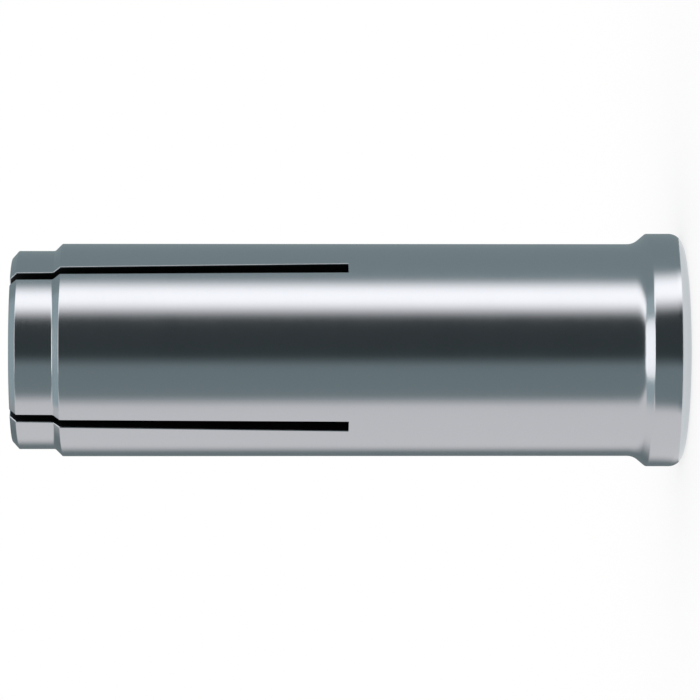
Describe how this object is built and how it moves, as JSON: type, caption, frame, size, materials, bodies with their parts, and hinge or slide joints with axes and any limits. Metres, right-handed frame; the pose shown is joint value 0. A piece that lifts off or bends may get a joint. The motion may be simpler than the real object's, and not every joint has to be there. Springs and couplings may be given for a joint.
{
  "type": "lipped drop-in anchor",
  "caption": "Plated steel expansion anchor sleeve with a lip at its threaded mouth and a slotted tip, holding a loose cone-nosed expander plug.",
  "frame": {"origin": "on the anchor's axis at the lip's outer face, which it stands on", "axes": "+Z along the axis from the lip to the slotted tip; -Y faces the middle of one of the fingers between the slots"},
  "size_m": [0.014, 0.014, 0.04],
  "materials": {
    "zinc_plated_steel": "smooth zinc plate with a faint blue cast, semi-gloss",
    "bright_steel": "plain turned steel, lightly oiled"
  },
  "bodies": {
    "root": {"anchor_sleeve": "zinc_plated_steel", "expander_plug": "bright_steel"}
  },
  "joints": []
}
